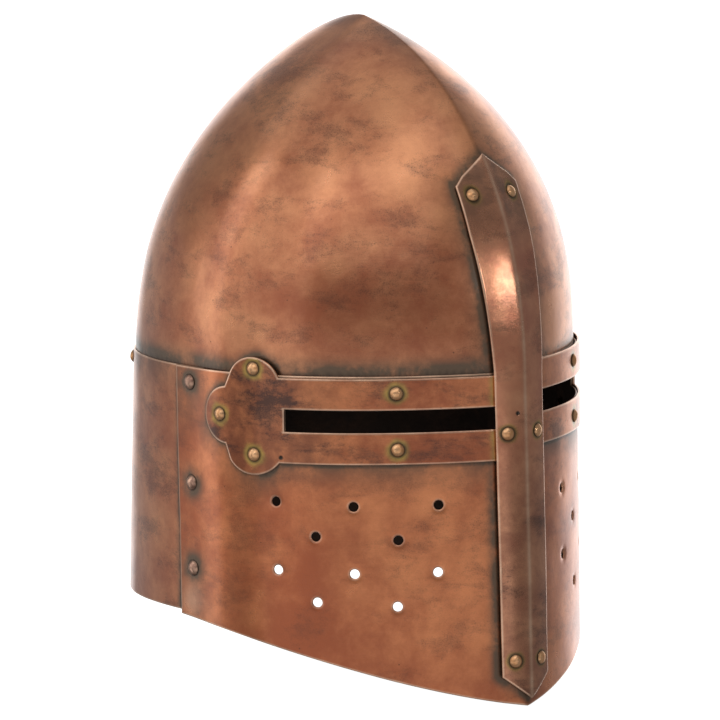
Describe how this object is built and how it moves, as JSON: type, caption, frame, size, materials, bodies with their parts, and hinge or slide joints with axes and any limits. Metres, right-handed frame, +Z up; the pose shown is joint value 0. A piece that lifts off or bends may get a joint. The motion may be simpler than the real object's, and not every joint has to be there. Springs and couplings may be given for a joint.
{
  "type": "great helm",
  "caption": "Pointed sugarloaf great helm in antiqued copper: raised skull, folded face plate with eye slots and breath holes, nasal bar, trefoil eye bands and a leather liner.",
  "frame": {"origin": "on the ground under the middle of the helm's box; the front tip of the face plate touches the ground", "axes": "+Z up to the crown, -Y the way the wearer faces, -X the wearer's right"},
  "size_m": [0.2295, 0.2724, 0.3543],
  "materials": {
    "skull": "antiqued copper, polished and toned",
    "face_plate": "antiqued copper, polished and toned",
    "back_plate": "antiqued copper, polished and toned",
    "eye_bands": "antiqued copper, bright edges",
    "nasal_bar": "antiqued copper, bright edges",
    "rivets": "bright copper heads",
    "seam_rivets": "dark toned copper heads",
    "washers": "plain",
    "liner_headband": "dark brown leather",
    "liner_petals": "brown leather, flesh side in",
    "liner_lace": "waxed thong"
  },
  "bodies": {
    "root": {"skull_right_half": "skull", "skull_left_half": "skull", "face_plate": "face_plate", "back_plate": "back_plate", "eye_band_right": "eye_bands", "eye_band_left": "eye_bands", "nasal_bar": "nasal_bar", "nasal_rivets_top": "rivets", "nasal_rivets_middle": "rivets", "nasal_rivets_bottom": "rivets", "lobe_rivets_right": "rivets", "arm_rivets_right": "rivets", "seam_rivets_right": "seam_rivets", "lobe_rivets_left": "rivets", "arm_rivets_left": "rivets", "seam_rivets_left": "seam_rivets", "liner_rivets_side": "rivets", "liner_rivets_back": "rivets", "liner_washers": "washers", "liner_headband": "liner_headband", "liner_petal_1": "liner_petals", "liner_petal_2": "liner_petals", "liner_petal_3": "liner_petals", "liner_petal_4": "liner_petals", "liner_petal_5": "liner_petals", "liner_petal_6": "liner_petals", "liner_petal_7": "liner_petals", "liner_petal_8": "liner_petals", "liner_lace": "liner_lace"}
  },
  "joints": []
}
